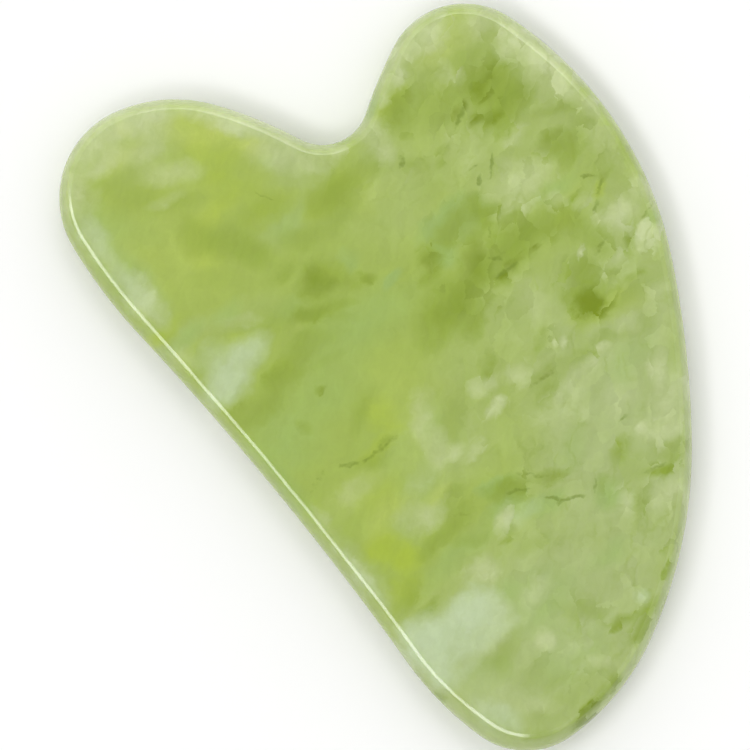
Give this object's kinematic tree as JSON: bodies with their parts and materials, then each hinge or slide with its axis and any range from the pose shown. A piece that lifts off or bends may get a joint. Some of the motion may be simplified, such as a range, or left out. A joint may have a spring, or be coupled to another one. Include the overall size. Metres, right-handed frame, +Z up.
{
  "type": "gua sha scraper",
  "caption": "Flat heart-shaped massage stone of polished yellow-green jade, with a rounded border for scraping along the face and neck.",
  "frame": {"origin": "centre of the outline's box, on the flat back face that the scraper lies on", "axes": "+Y runs from the tip to the two lobes, +X runs from the straight edge to the long curved edge, +Z points up through the stone's thickness to the front face"},
  "size_m": [0.0524, 0.08, 0.006],
  "materials": {
    "scraper_stone": "polished, slightly translucent, cloudy yellow-green serpentine jade"
  },
  "bodies": {
    "root": {"scraper_stone": "scraper_stone"}
  },
  "joints": []
}
